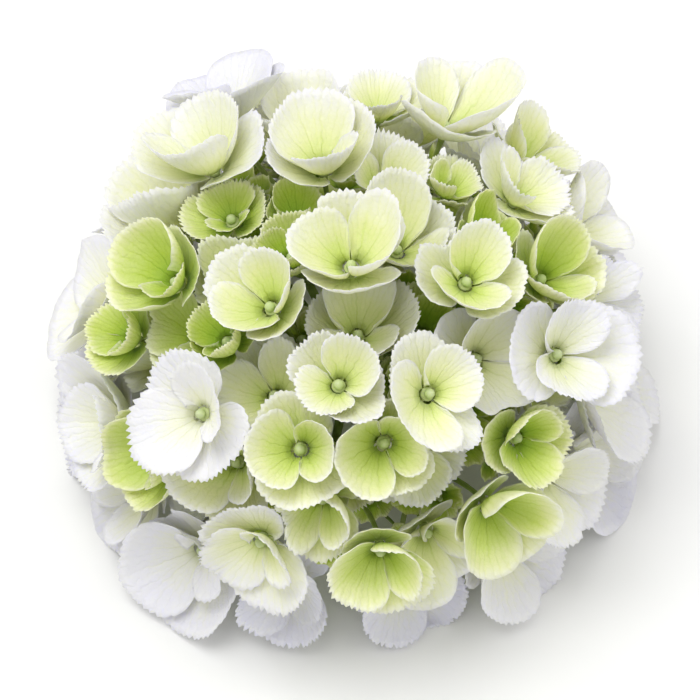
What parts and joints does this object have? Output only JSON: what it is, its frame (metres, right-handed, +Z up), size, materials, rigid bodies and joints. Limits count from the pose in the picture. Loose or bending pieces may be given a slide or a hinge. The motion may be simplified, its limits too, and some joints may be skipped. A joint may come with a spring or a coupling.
{
  "type": "bigleaf hydrangea flower head",
  "caption": "Cut bigleaf hydrangea mophead: a dome of four-sepalled florets on forked stalks, resting on its lowest sepals, to set in a vase, bouquet or wreath.",
  "frame": {"origin": "on the surface that the head rests on, under the middle of its bounding box", "axes": "+Z up through the crown, along the cut peduncle; -Y towards the side seen in the front view; +X to the right of it"},
  "size_m": [0.186, 0.1874, 0.1267],
  "materials": {
    "young_sepals": "matte, fresh petal",
    "cream_sepals": "matte, fresh petal",
    "white_sepals": "matte, fresh petal",
    "stem": "matte green stalk"
  },
  "bodies": {
    "root": {"cyme_01": "cream_sepals", "cyme_02": "cream_sepals", "cyme_03": "cream_sepals", "cyme_04": "white_sepals", "cyme_05": "cream_sepals", "cyme_06": "young_sepals", "cyme_07": "cream_sepals", "cyme_08": "cream_sepals", "cyme_09": "cream_sepals", "cyme_10": "white_sepals", "cyme_11": "white_sepals", "cyme_12": "white_sepals", "cyme_13": "white_sepals", "cyme_14": "white_sepals", "cyme_15": "white_sepals", "cyme_16": "cream_sepals", "cyme_17": "cream_sepals", "cyme_18": "cream_sepals", "cyme_19": "white_sepals", "peduncle": "stem"}
  },
  "joints": []
}
